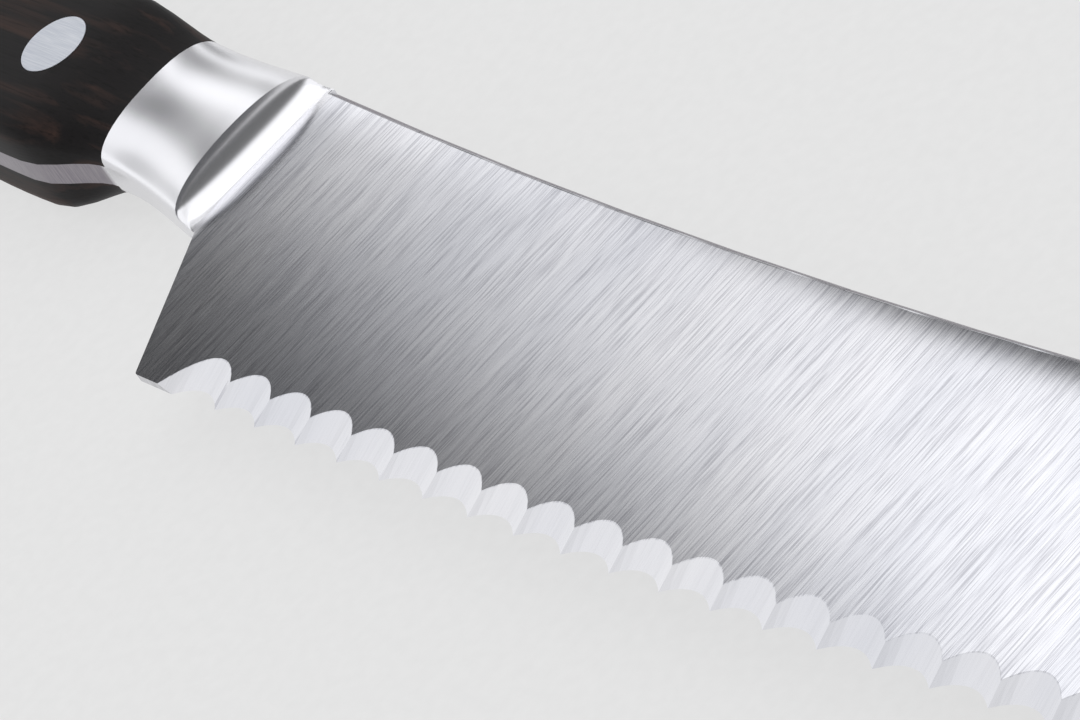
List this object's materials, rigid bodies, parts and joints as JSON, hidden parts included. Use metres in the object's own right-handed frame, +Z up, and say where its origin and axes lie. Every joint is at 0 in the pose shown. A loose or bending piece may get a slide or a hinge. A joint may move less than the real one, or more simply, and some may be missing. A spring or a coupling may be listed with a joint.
{
  "type": "bread knife",
  "caption": "Forged bread knife with a scalloped edge, a polished bolster and dark riveted hardwood scales, lying on its side.",
  "frame": {"origin": "centre of the footprint of the knife's bounding box, on the surface it lies on", "axes": "+X towards the tip, +Y towards the spine, +Z up out of the serrated side"},
  "size_m": [0.368, 0.0386, 0.0142],
  "materials": {
    "blade_steel": "satin",
    "hardwood": "satin",
    "rivet_steel": "satin"
  },
  "bodies": {
    "root": {"blade": "blade_steel", "right_scale": "hardwood", "left_scale": "hardwood", "front_rivet_socket": "rivet_steel", "middle_rivet_socket": "rivet_steel", "rear_rivet_socket": "rivet_steel", "front_rivet_pin": "rivet_steel", "middle_rivet_pin": "rivet_steel", "rear_rivet_pin": "rivet_steel"}
  },
  "joints": []
}
